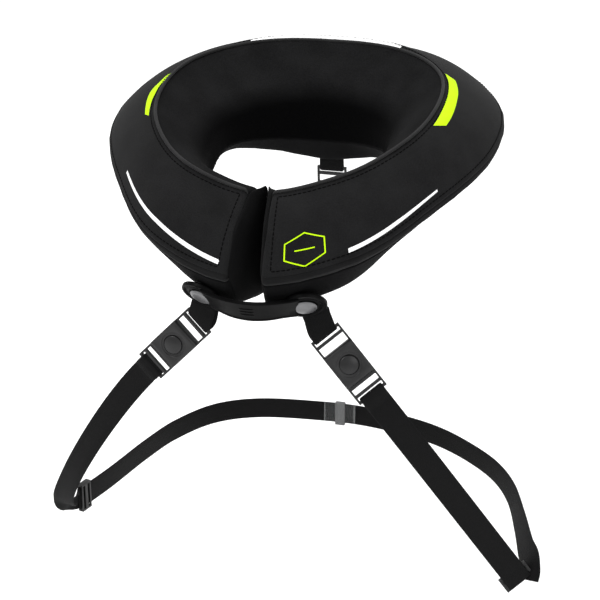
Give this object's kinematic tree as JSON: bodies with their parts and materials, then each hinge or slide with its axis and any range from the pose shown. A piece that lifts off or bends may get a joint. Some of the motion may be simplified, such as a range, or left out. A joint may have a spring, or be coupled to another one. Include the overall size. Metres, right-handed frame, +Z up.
{
  "type": "neck protector",
  "caption": "Padded split-front neck protector collar with a snap bridge across the split and a webbing chest harness with push-button buckles.",
  "frame": {"origin": "centre of the neck opening, level with the throat at the front and sides", "axes": "+Z up along the neck, the split front faces -Y, +X is the side on the viewer's right from the front"},
  "size_m": [0.3894, 0.3004, 0.3963],
  "materials": {
    "foam": "soft closed-cell foam",
    "shell_fabric": "black knitted cover, laminated to foam",
    "lining_fabric": "black brushed lining",
    "piping": "dark grey piped edge",
    "neon_print": "neon yellow-green heat-transfer film",
    "reflective": "white reflective film",
    "webbing": "black woven polyester webbing",
    "clear_plastic": "frosted translucent polyurethane",
    "bridge_rubber": "black moulded elastomer, satin",
    "buckle_plastic": "black acetal, fine spark texture",
    "button_plastic": "black acetal, satin",
    "snap_cap_metal": "grey metallic cap",
    "steel": "plain steel"
  },
  "bodies": {
    "collar_left": {"back_strap": "webbing", "base_cover_left": "shell_fabric", "bridge_anchor": "bridge_rubber", "buckle_housing_left": "buckle_plastic", "buckle_housing_rear": "buckle_plastic", "button_spring_left": "steel", "button_spring_rear": "steel", "edge_binding_left": "shell_fabric", "end_cap_left": "shell_fabric", "foam_core_left": "foam", "funnel_lining_left": "lining_fabric", "keeper": "clear_plastic", "lower_strap_left": "webbing", "lower_strap_right_lower": "webbing", "lower_strap_right_upper": "webbing", "neon_patch_left": "neon_print", "outer_panel_left": "shell_fabric", "rear_reflective_left": "reflective", "rear_strap": "clear_plastic", "reflective_strip_left": "reflective", "rim_piping_left": "piping", "slider_right": "buckle_plastic", "snap_cap_left": "snap_cap_metal", "snap_socket_left": "steel", "snap_stud_left": "steel", "stud_washer_left": "steel", "webbing_tab_left": "webbing", "webbing_tab_rear": "webbing"},
    "collar_right": {"base_cover_right": "shell_fabric", "buckle_housing_right": "buckle_plastic", "button_spring_right": "steel", "edge_binding_right": "shell_fabric", "end_cap_right": "shell_fabric", "foam_core_right": "foam", "funnel_lining_right": "lining_fabric", "neon_emblem": "neon_print", "neon_patch_right": "neon_print", "outer_panel_right": "shell_fabric", "rear_reflective_right": "reflective", "reflective_strip_right": "reflective", "rim_piping_right": "piping", "snap_stud_right": "steel", "stud_washer_right": "steel", "webbing_tab_right": "webbing"},
    "bridge": {"bridge_flap": "bridge_rubber", "snap_cap_right": "snap_cap_metal", "snap_socket_right": "steel"},
    "left_tongue": {"buckle_tongue_left": "buckle_plastic"},
    "right_tongue": {"buckle_tongue_right": "buckle_plastic"},
    "rear_tongue": {"buckle_tongue_rear": "buckle_plastic"},
    "left_button": {"push_button_left": "button_plastic"},
    "right_button": {"push_button_right": "button_plastic"},
    "rear_button": {"push_button_rear": "button_plastic"},
    "left_slider": {"slider_left": "buckle_plastic"}
  },
  "joints": [
    {"name": "collar_open", "type": "hinge", "parent": "collar_left", "child": "collar_right", "pos_m": [0, 0.1465, 0], "axis": [0, 0, 1], "range_deg": [0, 15], "stiffness_Nm_per_rad": 1.5, "deforming": ["lower_strap_right_lower", "lower_strap_right_upper"]},
    {"name": "bridge_peel", "type": "hinge", "parent": "collar_left", "child": "bridge", "pos_m": [-0.0202, -0.13459, -0.08842], "axis": [0.1037, 0.5374, -0.8369], "range_deg": [0, 100], "stiffness_Nm_per_rad": 0.02},
    {"name": "left_release", "type": "slide", "parent": "collar_left", "child": "left_tongue", "axis": [-0.6919, 0, -0.722], "range_m": [0, 0.018], "deforming": ["lower_strap_left"]},
    {"name": "right_release", "type": "slide", "parent": "collar_right", "child": "right_tongue", "axis": [0.6392, 0, -0.769], "range_m": [0, 0.018], "deforming": ["lower_strap_right_upper"]},
    {"name": "rear_release", "type": "slide", "parent": "collar_left", "child": "rear_tongue", "axis": [0, 0.0995, -0.995], "range_m": [0, 0.018], "deforming": ["rear_strap"]},
    {"name": "left_press", "type": "slide", "parent": "collar_left", "child": "left_button", "axis": [0.0811, 0.9937, -0.0778], "range_m": [0, 0.0012], "stiffness_N_per_m": 2500, "deforming": ["button_spring_left"]},
    {"name": "right_press", "type": "slide", "parent": "collar_right", "child": "right_button", "axis": [-0.3153, 0.9121, -0.2621], "range_m": [0, 0.0012], "stiffness_N_per_m": 2500, "deforming": ["button_spring_right"]},
    {"name": "rear_press", "type": "slide", "parent": "collar_left", "child": "rear_button", "axis": [0, -0.995, -0.0995], "range_m": [0, 0.0012], "stiffness_N_per_m": 2500, "deforming": ["button_spring_rear"]},
    {"name": "left_adjust", "type": "slide", "parent": "collar_left", "child": "left_slider", "axis": [0.2534, 0.9674, 0], "range_m": [0, 0.02]}
  ],
  "couplings": [
    {"joint": "bridge_peel", "follows": "collar_open", "ratio": 6.66}
  ]
}
